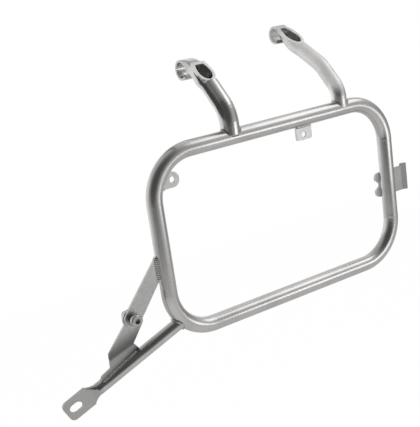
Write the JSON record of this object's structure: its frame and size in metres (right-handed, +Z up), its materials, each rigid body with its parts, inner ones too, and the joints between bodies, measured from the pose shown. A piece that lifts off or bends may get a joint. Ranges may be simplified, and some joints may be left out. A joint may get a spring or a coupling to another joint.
{
  "type": "pannier bracket",
  "caption": "Welded tube loop that carries a pannier, with two hooked upper arms, a lower stay with a slotted lug, link plates, small tabs and a rear plate.",
  "frame": {"origin": "middle of the pannier loop, on the plane of its tube axes", "axes": "+X along the loop towards the rear of the motorcycle, +Y inwards to the motorcycle, +Z up"},
  "size_m": [0.5013, 0.1233, 0.3596],
  "materials": {
    "tube": "satin brushed stainless steel",
    "plate": "matt rolled stainless sheet",
    "weld": "pickled weld bead",
    "fastener": "plain stainless fastener"
  },
  "bodies": {
    "root": {"loop_tube": "tube", "closing_tube": "tube", "seam_welds": "weld", "front_arm": "tube", "front_arm_weld": "weld", "rear_arm": "tube", "rear_arm_weld": "weld", "stay_tube": "tube", "stay_weld": "weld", "link_plate": "plate", "link_weld": "weld", "foot_plate": "plate", "foot_weld": "weld", "cap_screw": "fastener", "washers": "fastener", "lock_nut": "fastener", "round_tab": "plate", "round_tab_weld": "weld", "square_tab": "plate", "square_tab_weld": "weld", "rear_plate": "plate", "rear_plate_welds": "weld"}
  },
  "joints": []
}
